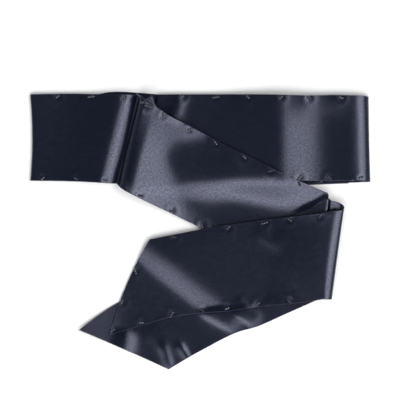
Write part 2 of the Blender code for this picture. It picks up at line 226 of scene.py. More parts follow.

# Creases, given one by one. Columns: middle x, middle y, bearing of the line in degrees, half its length,
# its width on the left and on the right of that bearing, height (a trough is below 0).
LOWER_CREASES = (
    (-178.0, 100.0, 84.0, 60.0, 14.0, 16.0, 0.35),
    (-150.0, 130.0, 97.0, 48.0, 18.0, 12.0, 0.30),
)
UPPER_CREASES = (
    (-30.0, 158.0, 74.0, 17.0, 7.0, 10.0, 1.6),
    (52.0, 128.0, 96.0, 46.0, 16.0, 14.0, 0.6),
    (158.0, 170.0, 0.0, 36.0, 18.0, 20.0, 2.0),
)
INNER_CREASES = (
    (21.8, -115.2, -28.0, 23.0, 14.0, 3.8, 0.9),
    (28.0, -104.0, -28.0, 27.0, 12.0, 17.0, 1.7),
    (55.0, -111.4, -33.0, 17.0, 12.0, 3.6, 0.8),
    (64.0, -103.0, -35.0, 18.0, 8.0, 12.0, 1.1),
    (-98.0, -144.0, 78.0, 17.0, 9.0, 15.0, 3.0),
    (-44.0, -160.0, -74.0, 18.0, 7.0, 7.0, 1.4),
    (-20.0, -155.0, -60.0, 14.0, 5.0, 6.0, 1.1),
    (-46.0, -140.0, -40.0, 26.0, 16.0, 14.0, 1.0),
)
OUTER_CREASES = (
    (88.0, -10.0, -34.0, 18.0, 14.0, 10.0, 0.9),
    (56.0, -96.0, -42.0, 12.0, 7.0, 8.0, 0.8),
    (92.0, -94.0, -60.0, 10.0, 6.0, 7.0, 0.6),
)

# Where bead groups are sewn. Columns: stretch, edge, and x along that edge (y along a cut end).
BEAD_SITES = (
    ("lower_run", "far", (-183.0, -139.5, -98.6)),
    ("lower_run", "near", (-201.0, -158.7, -121.6)),
    ("band_layers", "near", (156.0, 197.0)),
    ("upper_run", "far", (-21.8, 20.5, 61.4, 103.7, 139.5, 180.5)),
    ("upper_run", "near", (128.0, 165.0, 207.0)),
    ("crossing", "far", (-74.0, -66.0, -46.0, -11.5, 20.5, 57.6, 90.9, 126.7)),
    ("crossing", "near", (-76.8, -37.1, 1.3)),
    ("outer_tail", "far", (37.1, 81.9, 115.2, 153.6, -32.0)),
    ("outer_tail", "near", (-75.5, -35.8, 3.8, 34.6, 73.0, 113.9)),
    ("outer_tail", "end", (-51.2, -92.2, -128.0)),
)
# A group lies this near its place, on the highest ply there, or on the lowest where only its edge shows.
SITE_REACH, SITE_PLY = 3.0, 1.0
ON_LOWEST_PLY = ("band_layers",)

# The pucker round a group. Ring: height, radius, width. Dimple: depth, width. It is in one ply only.
PUCKER_RING, PUCKER_DIMPLE, PUCKER_PLY = (0.16, 7.0, 3.2), (0.32, 3.4), 1.4

# One bead, as shares of its size. Columns: place along its axis, and radius.
BEAD_PROFILE = ((-0.46, 0.18), (-0.46, 0.34), (-0.16, 0.5), (0.16, 0.5), (0.46, 0.34), (0.46, 0.18))
BEAD_SIDES = 7
# Beads in a group: their spacing and their middle's height, as shares of the size, and each one's turn.
BEAD_SPACING, BEAD_SEAT, BEAD_TURN = 1.02, 0.42, 0.9
# Groups are pairs, but for one three in every five. They slant off the edge by a sine of their number.
GROUPS_IN_REPEAT = 5
GROUP_SLANT, GROUP_ROLL = (1.1, 2.3, 0.7), 1.7

# The studio. Softboxes, columns: name, azimuth and tilt off the vertical in degrees, width, depth.
SOFTBOXES = (("right", 0.0, 34.5, 9.2, 6.8), ("front", -99.0, 40.0, 11.2, 8.8))
BOX_DISTANCE = 9.0
# Each box's power is given for this area. The inner box has a share of it, its own size, and less tilt.
BOX_AREA = 62.6
INNER_SHARE, INNER_SIZE, INNER_TILT = 0.22, (6.8, 3.0), 7.0
LIT_POINT = (0.0, 0.02, 0.0)
FLOOR_HALF, FLOOR_DROP = 9.0, 0.0003
# The dim room: between these heights of the sky its strength falls from the first to the second.
SKY_HEIGHTS, SKY_STRENGTHS = (0.40, 0.93), (0.34, 0.03)
SKY_COLOUR = (0.93, 0.96, 1.0, 1.0)
SENSOR = 36.0


# ---- shared shapes ----


def level(number):
    """Height of the middle of a flat ply, counted from 1 on the table."""
    return PLY / 2 + (number - 1) * PITCH


def ease(share):
    """A soft step from 0 to 1, with no slope or bend at its ends: 10 s^3 - 15 s^4 + 6 s^5."""
    share = np.clip(share, 0.0, 1.0)
    return share**3 * (10 - 15 * share + 6 * share * share)


def bump(distance, width):
    """A bell curve, 1 in the middle: e^-(distance / width)^2."""
    return np.exp(-((distance / width) ** 2))


def ramp(distance, length):
    """An even fall from 1 to 0 over a length, rounded at both ends."""
    rounding = 0.1 * length
    return 1 - bends(distance, ((0.0, 1 / length, rounding), (length, -1 / length, rounding)))


def creases(x, y, rows):
    """Soft ridges and troughs: each a bell across its line, wider on one side, dying away at its ends."""
    total = np.zeros_like(x)
    for middle_x, middle_y, bearing, half_length, left, right, height in rows:
        turned = np.radians(bearing)
        along = (x - middle_x) * np.cos(turned) + (y - middle_y) * np.sin(turned)
        aside = (y - middle_y) * np.cos(turned) - (x - middle_x) * np.sin(turned)
        width = np.where(aside > 0, left, right)
        total += height * np.exp(-((along / half_length) ** 4)) * bump(aside, width)
    return total


def bends(distance, rows):
    """Height of a strip that starts flat and bends at a few places.

    Columns: where it bends, how much its slope changes there, and over how long a stretch. Each bend adds
    change * softness * log(1 + e^((distance - place) / softness)).
    """
    total = np.zeros_like(distance)
    for place, change, softness in rows:
        total += change * softness * np.logaddexp(0.0, (distance - place) / softness)
    return total


def past_crease(x, y):
    """Distance to the right of the left crease."""
    (x0, y0), (x1, y1) = LEFT_CREASE
    length = np.hypot(x1 - x0, y1 - y0)
    return ((y0 - y1) * (x - x0) + (x1 - x0) * (y - y0)) / length


def lower_run_height(x, y):
    """The top ply at the left: it rises slowly to a swell and dips steeply into the left crease."""
    swell = np.maximum(bends(past_crease(x, y), SWELL_BENDS), 0.0)
    puff = LEFT_PUFF * (1 - ease((x - LOWER_RUN[0][0]) / LEFT_PUFF_LENGTH))
    return level(2) + swell + puff + creases(x, y, LOWER_CREASES)


def upper_run_height(x, y):
    """The upper run: a long rise to the right, a quicker fall, and a last rise into the right-hand fold."""
    return level(4) + bends(x, UPPER_BENDS) + creases(x, y, UPPER_CREASES)


def hollow(x, y):
    """How high the crossing stands over its hollow: it falls from a crest beside the left crease.

    The fall ends in a half ellipse above the hollow's axis, and further and further to the right below it.
    """
    (end_x, end_y), (rise, length), (fall, fall_x) = HOLLOW_END, HOLLOW_RISE, HOLLOW_FALL
    axis = end_y + rise * np.clip(x - end_x, 0.0, length) - fall * np.maximum(x - fall_x, 0.0)
    below = bends(axis - y, ((0.0, 1.0, HOLLOW_FOOT),))
    left = np.maximum(end_x + HOLLOW_SLANT * below - x, 0.0)
    share, start, reach = HOLLOW_TOP
    above = np.maximum(y - axis, 0.0) * (1 - share * ease((x - start) / reach))
    place, slope, softness = HOLLOW_BEND
    softness = softness + HOLLOW_SOFTER * np.minimum(below, HOLLOW_SOFTEST)
    stands = bends(np.hypot(left, above), ((place, slope, softness),))
    return stands - bends(-past_crease(x, y), CREST_BENDS)


def over_band(x, y):
    """A ply that lies on the upper run, then goes down to the table past the band's foot.

    It turns down quickly and comes to the table slowly, over a longer way where the band is higher.
    """
    (less, less_x, width), (more, more_x), (turning, landing) = DROP_SHORTER, DROP_LONGER, DROP_ROUNDING
    length = DROP_OFF_BAND - less * bump(x - less_x, width) + more * np.maximum(x - more_x, 0.0)
    fall = bends(BAND_FOOT - y, ((0.0, 1 / length, turning), (length, -1 / length, landing)))
    return level(1) + (upper_run_height(x, y) + PITCH - level(1)) * (1 - fall)


def crossing_under_height(x, y):
    """The crossing's lower ply: over the band, high at the left crease and in the right-hand rolls."""
    return over_band(x, y) + hollow(x, y) + bends(x, END_BENDS)


def past_edge(x, y, rows, lower=False):
    """How far a point lies above a stretch's upper or lower edge, in y."""
    edge = np.array(rows)[:, 2:4] if lower else np.array(rows)[:, 0:2]
    edge = edge[np.argsort(edge[:, 0])]
    return y - np.interp(x, edge[:, 0], edge[:, 1])


def crossing_height(x, y):
    """The crossing's top ply, a little further from the lower one where it stands high."""
    start, reach, beyond, height, inside, settling = LIFT
    past = past_edge(x, y, INNER_TAIL)
    lift = height * ease((x - start) / reach) * (1 - ease(past / beyond))
    lift = lift * (1 - ease((-past - inside) / settling))
    return crossing_under_height(x, y) + PITCH + PLIES_PART * hollow(x, y) + lift


def roll_puff(x, y, rows, heights, length):
    """The swell of a right-hand roll, which dies away to the left. heights: at its upper and lower end."""
    top_x, top_y, bottom_x, bottom_y = rows[0][:4]
    share = np.clip((top_y - y) / (top_y - bottom_y), 0.0, 1.0)
    fold_x = top_x + (bottom_x - top_x) * share
    height = heights[0] + (heights[1] - heights[0]) * share
    return height * (1 - ease((fold_x - x) / length))


def inner_tail_height(x, y):
    """The lower end: on the crossing near the roll, then down to the table.

    Its creases run out from under the upper end, so they die away a little way in below that end's edge.
    """
    beyond = -past_edge(x, y, CROSSING, lower=True)
    on_crossing = ramp(beyond * SLANT - EDGE_MARGIN, DROP_OFF_CROSSING)
    rest = level(1) + (over_band(x, np.minimum(y, TAIL_LEVEL)) + 2 * PITCH - level(1)) * on_crossing
    rest = rest + roll_puff(x, y, INNER_TAIL, INNER_PUFF, INNER_PUFF_LENGTH)
    inside = past_edge(x, y, OUTER_TAIL, lower=True)
    shown = np.where(x < OUTER_TAIL[-1][2], 1.0, 1 - ease((inside + EDGE_MARGIN) / CREASE_FADE))
    return rest + bends(-x, TIP_BENDS) + shown * creases(x, y, INNER_CREASES)


def slanting_swell(x, y):
    """The fold that slants down across the outer tail: quick at its lower side, with a long fall above."""
    start_x, start_y, bearing = SLANT_LINE
    turned = np.radians(bearing)
    return bends((y - start_y) * np.cos(turned) - (x - start_x) * np.sin(turned), SLANT_BENDS)


def outer_tail_height(x, y):
    """The upper end: over the lower one, and down past that one's upper edge."""
    beyond = past_edge(x, y, INNER_TAIL)
    on_inner = 1 - ease((beyond * SLANT - EDGE_MARGIN) / DROP_OFF_TAIL)
    over = inner_tail_height(x, y) + PITCH * on_inner + creases(x, y, OUTER_CREASES)
    return over + roll_puff(x, y, OUTER_TAIL, OUTER_PUFF, OUTER_PUFF_LENGTH) + slanting_swell(x, y)


def sections(rows, height):
    """A grid (along, across, xyz): a Hermite curve through the rows, each section straight but for its bow.

    The bow is a parabola across the section: 4 v (1 - v) times its depth, towards the stretch's end.
    """
    sizes = bpy.context.scene.sash_sizes
    step, across = sizes.step / MM, sizes.across
    rows = np.array(rows)
    middle = (rows[:, 0:2] + rows[:, 2:4]) / 2
    knots = np.concatenate(([0.0], np.cumsum(np.hypot(*np.diff(middle, axis=0).T))))
    count = max(2, int(round(knots[-1] / step)) + 1)
    at = np.linspace(0.0, knots[-1], count)
    slopes = np.gradient(rows, knots, axis=0)
    k = np.clip(np.searchsorted(knots, at, side="right") - 1, 0, len(rows) - 2)
    span = (knots[k + 1] - knots[k])[:, None]
    t = (at - knots[k])[:, None] / span
    row = (
        (1 + 2 * t) * (1 - t) ** 2 * rows[k]
        + t * (1 - t) ** 2 * span * slopes[k]
        + t**2 * (3 - 2 * t) * rows[k + 1]
        + t**2 * (t - 1) * span * slopes[k + 1]
    )
    upper, lower = row[:, None, 0:2], row[:, None, 2:4]
    v = np.concatenate(([0.0], np.linspace(EDGE_STRIP, 1 - EDGE_STRIP, across - 2), [1.0]))
    v = v[None, :, None]
    along = np.stack((upper[..., 1] - lower[..., 1], lower[..., 0] - upper[..., 0]), axis=-1)
    heading = np.gradient((row[:, 0:2] + row[:, 2:4]) / 2, axis=0)[:, None]
    along *= np.sign((along * heading).sum(axis=-1, keepdims=True))
    along /= np.linalg.norm(along, axis=-1, keepdims=True)
    plan = upper + (lower - upper) * v + along * row[:, None, 4:5] * 4 * v * (1 - v)
    return np.dstack((plan, height(plan[..., 0], plan[..., 1])))


def turn(bottom, top, reach, start=-90.0, end=90.0, side=1.0, steps=SMALL_STEPS, way=None, slumped=False):
    """Sections round a rolled fold: half an ellipse from the section below to the one above.

    The roll stands out square to the fold, or along the given way. A slumped roll has a low foot and a
    long shoulder, steeper and steeper on its way down.
    """
    across = top[-1, :2] - top[0, :2]
    out = np.array([-across[1], across[0]]) / np.hypot(*across)
    out *= side * np.sign(out[0])
    if way is not None:
        out = np.array(way)
    width = np.interp(np.linspace(0.0, 1.0, len(top)), np.linspace(0.0, 1.0, len(reach)), reach)
    angle = np.radians(np.linspace(start, end, steps + 1))[:, None, None]
    rise = (1 + np.sin(angle)) / 2
    if slumped:
        upper = 1 - SLUMP_SHOULDER * np.cos(angle) ** 2 - (1 - SLUMP_SHOULDER) * np.cos(angle) ** 5
        rise = np.where(angle < 0, SLUMP_FOOT * 2 * rise, SLUMP_FOOT + (1 - SLUMP_FOOT) * upper)
    rings = bottom + (top - bottom) * rise
    rings[..., :2] += out * width[None, :, None] * np.cos(angle)
    return rings


def tuck(section, side, reach):
    """Flat sections that lead up to a roll from under the stretch above."""
    shift = np.linspace(reach, 0.0, TUCK_STEPS + 1)[:-1, None] * side
    flat = np.repeat(section[None], TUCK_STEPS, axis=0)
    flat[..., 0] -= shift
    return flat


def at_level(section, number, slide):
    """The section below a roll: flat on its own level of the stack, and slid along the fold."""
    flat = section.copy()
    flat[:, 1] += slide
    flat[:, 2] = level(number)
    return flat


def unit(vectors):
    """Vectors of length 1 in the same directions."""
    return vectors / np.linalg.norm(vectors, axis=-1, keepdims=True)


def facing(grid):
    """Unit normals of a grid, on the side that looks up where most of it lies flat."""
    normal = unit(np.cross(np.gradient(grid, axis=1), np.gradient(grid, axis=0)))
    return -normal if normal[..., 2].sum() < 0 else normal


# ---- meshes ----


def lengths(grid, axis):
    """Distance along one direction of a grid, summed step by step."""
    steps = np.linalg.norm(np.diff(grid, axis=axis), axis=-1)
    start = np.zeros_like(np.take(steps, [0], axis=axis))
    return np.cumsum(np.concatenate((start, steps), axis=axis), axis=axis)


def wall_faces(rows, columns, rings):
    """Quads of a wall: its two grids, and the strips of its rim between them."""
    i, j = np.meshgrid(np.arange(rows - 1), np.arange(columns - 1), indexing="ij")
    a = (i * columns + j).ravel()
    top = np.stack((a, a + columns, a + columns + 1, a + 1), axis=1)
    bottom = top[:, ::-1] + rows * columns
    rim = rim_of(rows, columns)
    count = len(rim)
    middle = [2 * rows * columns + r * count + np.arange(count) for r in range(rings)]
    loops = [rim] + middle + [rim + rows * columns]
    strips = [np.stack((p, np.roll(p, -1), np.roll(q, -1), q), axis=1) for p, q in zip(loops, loops[1:])]
    return np.concatenate([top, bottom] + strips)


def rim_of(rows, columns):
    """Grid indices round the rim, in one loop."""
    index = np.arange(rows * columns).reshape(rows, columns)
    return np.concatenate((index[0], index[1:, -1], index[-1, -2::-1], index[-2:0:-1, 0]))


def place_piece(name, mesh, material):
    """An object at the origin that rides with the sash."""
    mesh.materials.append(material)
    piece = bpy.data.objects.new(name, mesh)
    bpy.context.scene.collection.objects.link(piece)
    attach(piece, "root")
    return piece


def cloth_wall(name, grid, material, cut_end=False):
    """A closed wall of cloth round a grid of middle points, half a ply to each side, with a blunt rim.

    It carries a UV map in metres, along and across the sash, and each point's distance from its edge.
    The cloth is thinner than a solid ply, and lies in the lower part of its room.
    """
    grid = grid - (0.0, 0.0, (PLY - THICKNESS) / 2)
    after_first = (1 - END_STRIP) * grid[:1] + END_STRIP * grid[1:2]
    before_last = (1 - END_STRIP) * grid[-1:] + END_STRIP * grid[-2:-1]
    grid = np.concatenate((grid[:1], after_first, grid[1:-1], before_last, grid[-1:]))
    rows, columns = grid.shape[:2]
    normal = facing(grid)
    along, across = np.gradient(grid, axis=0), np.gradient(grid, axis=1)
    outward = np.zeros_like(grid)
    outward[:, 0] -= unit(across[:, 0])
    outward[:, -1] += unit(across[:, -1])
    outward[0] -= unit(along[0])
    outward[-1] += unit(along[-1])
    rim = rim_of(rows, columns)
    centre, up, out = (part.reshape(-1, 3)[rim] for part in (grid, normal, outward))
    angles = np.radians(np.linspace(90.0, -90.0, RIM_RINGS + 2))[1:-1, None, None]
    edge = centre + (up * np.sin(angles) + out * RIM * np.cos(angles)) * THICKNESS / 2
    points = np.concatenate((
        (grid + normal * THICKNESS / 2).reshape(-1, 3), (grid - normal * THICKNESS / 2).reshape(-1, 3),
        edge.reshape(-1, 3),
    ))
    u, v = lengths(grid, 0), lengths(grid, 1)
    from_edge = np.minimum(v, v[:, -1:] - v)
    if cut_end:
        from_edge = np.minimum(from_edge, u[-1:] - u)
    uv = np.stack((u, v, from_edge), axis=-1).reshape(-1, 3) * MM
    uv = np.concatenate((uv, uv, np.tile(uv[rim], (RIM_RINGS, 1))))
    faces = wall_faces(rows, columns, RIM_RINGS)
    a, b, c = (points[faces[:, k]] for k in (0, 1, 2))
    if (np.cross(b, c) * a).sum() < 0:
        faces = faces[:, ::-1]
    mesh = bpy.data.meshes.new(name)
    mesh.from_pydata((points * MM).tolist(), [], faces.tolist())
    layer = mesh.uv_layers.new(name="cloth")
    corners = np.zeros(len(mesh.loops), dtype=np.int32)
    mesh.loops.foreach_get("vertex_index", corners)
    layer.data.foreach_set("uv", uv[corners, :2].astype(np.float32).ravel())
    attribute = mesh.attributes.new("from_edge", "FLOAT", "POINT")
    attribute.data.foreach_set("value", uv[:, 2].astype(np.float32))
    mesh.shade_smooth()
    piece = place_piece(name, mesh, material)
    return piece


def bead_places(stretch, grid):
    """Where a stretch's bead groups lie: a point inside the edge, the way along it, and the way up."""
    inset = bpy.context.scene.sash_sizes.bead_inset / MM
    ply = -1.0 if stretch in ON_LOWEST_PLY else 1.0
    normal = facing(grid)
    normal = np.where(normal[..., 2:] < 0, -normal, normal)
    found = []
    for name, edge, places in BEAD_SITES:
        if name != stretch:
            continue
        line, inner, up = {
            "far": (grid[:, 0], grid[:, 3], normal[:, 2]),
            "near": (grid[:, -1], grid[:, -4], normal[:, -3]),
            "end": (grid[-1], grid[-3], normal[-2]),
        }[edge]
        measure = line[:, 1] if edge == "end" else line[:, 0]
        height = ply * line[:, 2]
        for place in places:
            away = np.abs(measure - place)
            near = (up[:, 2] > 0.5) & (away < SITE_REACH)
            shown = near & (height > height[near].max() - SITE_PLY)
            k = int(np.argmin(np.where(shown, away, np.inf)))
            k = min(max(k, 1), len(line) - 2)
            inward = unit(inner[k] - line[k])
            found.append((line[k] + inward * inset, unit(line[k + 1] - line[k - 1]), up[k]))
    return found


def pucker(grid, places):
    """Each bead group pulls the cloth into a small dimple with a low ring round it."""
    (ring, radius, ring_width), (dimple, dimple_width) = PUCKER_RING, PUCKER_DIMPLE
    for point, _, _ in places:
        distance = np.hypot(grid[..., 0] - point[0], grid[..., 1] - point[1])
        pull = ring * bump(distance - radius, ring_width) - dimple * bump(distance, dimple_width)
        grid[..., 2] += (np.abs(grid[..., 2] - point[2]) < PUCKER_PLY) * pull
    return grid


def bead_group(point, along, up, size, count, turned):
    """Faceted beads in a row: each a barrel whose axis lies along the row.

    Its rings have seven corners, and every second ring is turned by half a side.
    """
    profile = np.array(BEAD_PROFILE)[:, None]
    side = unit(np.cross(up, along))
    lift = unit(np.cross(along, side))
    corners = 2 * np.pi * np.arange(BEAD_SIDES) / BEAD_SIDES
    half_side = np.pi / BEAD_SIDES * (np.arange(len(profile))[:, None] % 2)
    blocks = []
    for n in range(count):
        spin = corners + turned + BEAD_TURN * n + half_side
        middle = point + along * (n - (count - 1) / 2) * size * BEAD_SPACING + lift * size * BEAD_SEAT
        out = np.cos(spin)[..., None] * side + np.sin(spin)[..., None] * lift
        ring = middle + along * profile[..., :1] * size + out * profile[..., 1:] * size
        blocks.append(ring.reshape(-1, 3))
    return blocks


def bead_faces(start, rings, sides):
    """Triangles of one bead: zigzag strips between its rings and a flat end at each side."""
    r, s = np.meshgrid(np.arange(rings - 1), np.arange(sides), indexing="ij")
    a, b = start + r * sides + s, start + r * sides + (s + 1) % sides
    c, d = a + sides, b + sides
    even = (r % 2 == 0)[..., None]
    first = np.where(even, np.stack((a, c, b), -1), np.stack((a, c, d), -1)).reshape(-1, 3)
    second = np.where(even, np.stack((b, c, d), -1), np.stack((a, d, b), -1)).reshape(-1, 3)
    last = start + (rings - 1) * sides
    ends = [list(range(start, start + sides)), list(range(last, last + sides))[::-1]]
    return first.tolist() + second.tolist() + ends


def sew_beads(stretch, places):
    """All the bead groups of one stretch as one mesh."""
    size = bpy.context.scene.sash_sizes.bead_size / MM
    most, pace, start = GROUP_SLANT
    points, faces = [], []
    for n, (point, along, up) in enumerate(places):
        count = 3 if n % GROUPS_IN_REPEAT == 1 else 2
        slanted = unit(along + np.cross(up, along) * most * np.sin(pace * n + start))
        for block in bead_group(point, slanted, up, size, count, GROUP_ROLL * n):
            faces += bead_faces(len(points) * len(block), len(BEAD_PROFILE), BEAD_SIDES)
            points.append(block)
    mesh = bpy.data.meshes.new("beads_" + stretch)
    mesh.from_pydata((np.concatenate(points) * MM).tolist(), [], faces)
    return place_piece("beads_" + stretch, mesh, bead_material())


# ---- materials ----

# The weave's noises. Columns: scale per metre, how far they are drawn out along the sash, detail.
THREADS, SLUBS, MOTTLE = (2600.0, 14.0, 2.0), (500.0, 1.3, 2.0), (150.0, 1.6, 4.0)
# Heights of the slubs and of the seam allowance's ridge, where a thread's is 1, and that height in metres.
SLUB_HEIGHT, SEAM_HEIGHT, RELIEF_UNIT = 1.6, 0.25, 0.00012
# Where the ridge falls off and the rim ends, as shares of the allowance, and the noise that gives gloss.
SEAM_FALL, RIM_FALL, GLOSS_RANGE = (0.9, 1.15), (0.0, 0.22), (0.27, 0.73)
# How far the mottle moves the roughness each way, and how much the rim adds to it.
ROUGH_RANGE, ROUGH_SPREAD, RIM_ROUGH = (0.3, 0.7), 0.02, 0.1


def node(tree, kind, x, y, **values):
    """A shader node at a place in its editor, with these settings."""
    made = tree.nodes.new(kind)
    made.location = (x, y)
    for name, value in values.items():
        setattr(made, name, value)
    return made


def group_of(name, inputs, outputs):
    """An empty shader group with these sockets: (name, kind, default)."""
    tree = bpy.data.node_groups.new(name, "ShaderNodeTree")
    for label, kind, default in inputs:
        socket = tree.interface.new_socket(name=label, in_out="INPUT", socket_type=kind)
        if default is not None:
            socket.default_value = default
    for label, kind in outputs:
        tree.interface.new_socket(name=label, in_out="OUTPUT", socket_type=kind)
    return tree, node(tree, "NodeGroupInput", -900, 0), node(tree, "NodeGroupOutput", 700, 0)


def set_inputs(shader, values):
    """Plain values on a node's own sockets."""
    for name, value in values.items():
        shader.inputs[name].default_value = value


def ranged(tree, source, x, y, given, made, smooth=False):
    """A value mapped from one pair of limits to another, in a straight line or a soft step."""
    kind = "SMOOTHSTEP" if smooth else "LINEAR"
    limits = node(tree, "ShaderNodeMapRange", x, y, interpolation_type=kind)
    set_inputs(limits, dict(zip(("From Min", "From Max", "To Min", "To Max"), (*given, *made))))
    tree.links.new(source, limits.inputs["Value"])
    return limits.outputs["Result"]


def worked(tree, operation, x, y, *values):
    """The outcome of a sum on sockets and numbers."""
    sum_node = node(tree, "ShaderNodeMath", x, y, operation=operation)
    for socket, value in zip(sum_node.inputs, values):
        if isinstance(value, float):
            socket.default_value = value
        else:
            tree.links.new(value, socket)
    return sum_node.outputs[0]


def dyed(tree, share, x, y, first, second):
    """A colour between two, by a share."""
    mix = node(tree, "ShaderNodeMix", x, y, data_type="RGBA")
    mix.inputs[6].default_value = (*first, 1.0)
    mix.inputs[7].default_value = (*second, 1.0)
    tree.links.new(share, mix.inputs[0])
    return mix.outputs[2]


def new_material(name):
    """A material, its nodes and its shader."""
    material = bpy.data.materials.new(name)
    material.use_nodes = True
    return material, material.node_tree, material.node_tree.nodes["Principled BSDF"]


def stretched_noise(tree, source, kind, x, y):
    """Noise drawn out along the sash: the map is squeezed along u before the noise reads it."""
    scale, along, detail = kind
    mapping = node(tree, "ShaderNodeMapping", x, y)
    mapping.inputs["Scale"].default_value = (scale / along, scale, scale)
    noise = node(tree, "ShaderNodeTexNoise", x + 180, y)
    set_inputs(noise, {"Scale": 1.0, "Detail": detail})
    tree.links.new(source, mapping.inputs["Vector"])
    tree.links.new(mapping.outputs["Vector"], noise.inputs["Vector"])
    return noise.outputs["Fac"]


def weave_group():
    """Satin floats: fine long threads, higher and glossier slubs, and the seam allowance's faint ridge.

    Rim is 1 at the edge and falls to 0 inside it. Mottle is the dye's slow change.
    """
    tree = bpy.data.node_groups.get("satin_weave")
    if tree:
        return tree
    tree, given, put = group_of(
        "satin_weave",
        (("Cloth", "NodeSocketVector", None), ("From Edge", "NodeSocketFloat", 0.01),
         ("Thread", "NodeSocketFloat", 1.0), ("Allowance", "NodeSocketFloat", 0.0065)),
        (("Height", "NodeSocketFloat"), ("Mottle", "NodeSocketFloat"), ("Rim", "NodeSocketFloat"),
         ("Gloss", "NodeSocketFloat")),
    )
    cloth = given.outputs["Cloth"]
    threads = stretched_noise(tree, cloth, THREADS, -700, 300)
    slubs = stretched_noise(tree, cloth, SLUBS, -700, 0)
    mottle = stretched_noise(tree, cloth, MOTTLE, -700, -300)
    fine = worked(tree, "MULTIPLY", -250, 300, threads, given.outputs["Thread"])
    coarse = worked(tree, "MULTIPLY_ADD", -80, 150, slubs, SLUB_HEIGHT, fine)
    edge = worked(tree, "DIVIDE", -250, -150, given.outputs["From Edge"], given.outputs["Allowance"])
    inside = ranged(tree, edge, -80, -150, SEAM_FALL, (1.0, 0.0), smooth=True)
    height = worked(tree, "MULTIPLY_ADD", 150, 100, inside, SEAM_HEIGHT, coarse)
    rim = ranged(tree, edge, -80, -400, RIM_FALL, (1.0, 0.0), smooth=True)
    gloss = ranged(tree, slubs, 150, 350, GLOSS_RANGE, (0.0, 1.0))
    for name, value in (("Height", height), ("Mottle", mottle), ("Rim", rim), ("Gloss", gloss)):
        tree.links.new(value, put.inputs[name])
    return tree


def satin_material():
    """Dyed satin: a dark navy ground with a broad bluish sheen, broken up by the weave.

    The slubs' gloss is a coat whose weight changes, so bright places have grain and dark ones stay even.
    """
    material = bpy.data.materials.get("navy_satin_cloth")
    if material:
        return material
    look = bpy.context.scene.sash_look
    material, tree, shader = new_material("navy_satin_cloth")
    cloth = node(tree, "ShaderNodeUVMap", -1000, 200, uv_map="cloth")
    from_edge = node(tree, "ShaderNodeAttribute", -1000, 0, attribute_name="from_edge")
    weave = node(tree, "ShaderNodeGroup", -750, 100)
    weave.node_tree = weave_group()
    tree.links.new(cloth.outputs["UV"], weave.inputs["Cloth"])
    tree.links.new(from_edge.outputs["Fac"], weave.inputs["From Edge"])
    mottle = weave.outputs["Mottle"]
    spread = (look.roughness - ROUGH_SPREAD, look.roughness + ROUGH_SPREAD)
    rough = ranged(tree, mottle, -400, 50, ROUGH_RANGE, spread)
    relief = node(tree, "ShaderNodeBump", -400, -200)
    set_inputs(relief, {"Strength": look.relief, "Distance": RELIEF_UNIT})
    tree.links.new(weave.outputs["Height"], relief.inputs["Height"])
    for name, value in (
        ("Base Color", dyed(tree, mottle, -400, 300, look.ground, look.ground_light)),
        ("Roughness", worked(tree, "MULTIPLY_ADD", -200, 50, weave.outputs["Rim"], RIM_ROUGH, rough)),
        ("Normal", relief.outputs["Normal"]),
        ("Coat Weight", weave.outputs["Gloss"]),
    ):
        tree.links.new(value, shader.inputs[name])
    set_inputs(shader, {"Coat Roughness": 0.22, "Coat IOR": 1.5, "Specular IOR Level": 0.5,
                        "Specular Tint": (0.61, 0.65, 1.0, 1.0)})
    material.diffuse_color = (*look.ground_light, 1.0)
    return material


def bead_material():
    """Black cut glass, with a trace of dust that dulls some facets."""
    material = bpy.data.materials.get("black_glass_bead")
    if material:
        return material
    look = bpy.context.scene.sash_look
    material, tree, shader = new_material("black_glass_bead")
    place = node(tree, "ShaderNodeTexCoord", -900, 0)
    dust = node(tree, "ShaderNodeTexNoise", -700, 0)
    dust.inputs["Scale"].default_value = 900.0
    tree.links.new(place.outputs["Object"], dust.inputs["Vector"])
    dusty = tuple(3 * c for c in look.bead)
    colour = dyed(tree, dust.outputs["Fac"], -400, 200, look.bead, dusty)
    rough = ranged(tree, dust.outputs["Fac"], -400, -50, (0.0, 1.0), (0.04, 0.22))
    tree.links.new(colour, shader.inputs["Base Color"])
    tree.links.new(rough, shader.inputs["Roughness"])
    set_inputs(shader, {"Specular IOR Level": 1.0, "Specular Tint": (0.80, 0.88, 1.0, 1.0), "IOR": 1.6})
    return material


def floor_material():
    """Matt pale paper."""
    material, _, shader = new_material("pale_floor")
    set_inputs(shader, {"Base Color": (0.9, 0.9, 0.9, 1.0), "Roughness": 0.9, "Specular IOR Level": 0.1})
    return material


# ---- settings ----


def setting(name, description, default, low, high, **kind):
    """A number that a user may change, with its limits."""
    return FloatProperty(name=name, description=description, default=default, min=low, max=high, **kind)


def dye(name, description, default):
    """A colour that a user may change."""
    return FloatVectorProperty(name=name, description=description, default=default, min=0.0, max=1.0,
                               subtype="COLOR")


class SashSizes(bpy.types.PropertyGroup):
    """Sizes that a user would change."""

    step: setting("Grid step", "Spacing of the points along the sash", 0.0018, 0.001, 0.01, unit="LENGTH")
    across: IntProperty(name="Points across", description="Points across the sash", default=49,
                        min=9, max=129)
    bead_size: setting("Bead size", "Diameter of one bead", 0.0030, 0.001, 0.008, unit="LENGTH")
    bead_inset: setting("Bead inset", "Beads' distance from the edge", 0.0036, 0.001, 0.02, unit="LENGTH")


class SashLook(bpy.types.PropertyGroup):
    """Colours and finish."""

    ground: dye("Ground", "Dye in the shade", (0.0036, 0.0052, 0.0125))
    ground_light: dye("Ground, light", "Dye where the weave is open", (0.0054, 0.0075, 0.0165))
    roughness: setting("Roughness", "Spread of the satin's sheen", 0.215, 0.05, 1.0, subtype="FACTOR")
    relief: setting("Relief", "Strength of the weave's relief", 0.45, 0.0, 1.0, subtype="FACTOR")
    bead: dye("Beads", "Colour of the glass", (0.004, 0.004, 0.006))


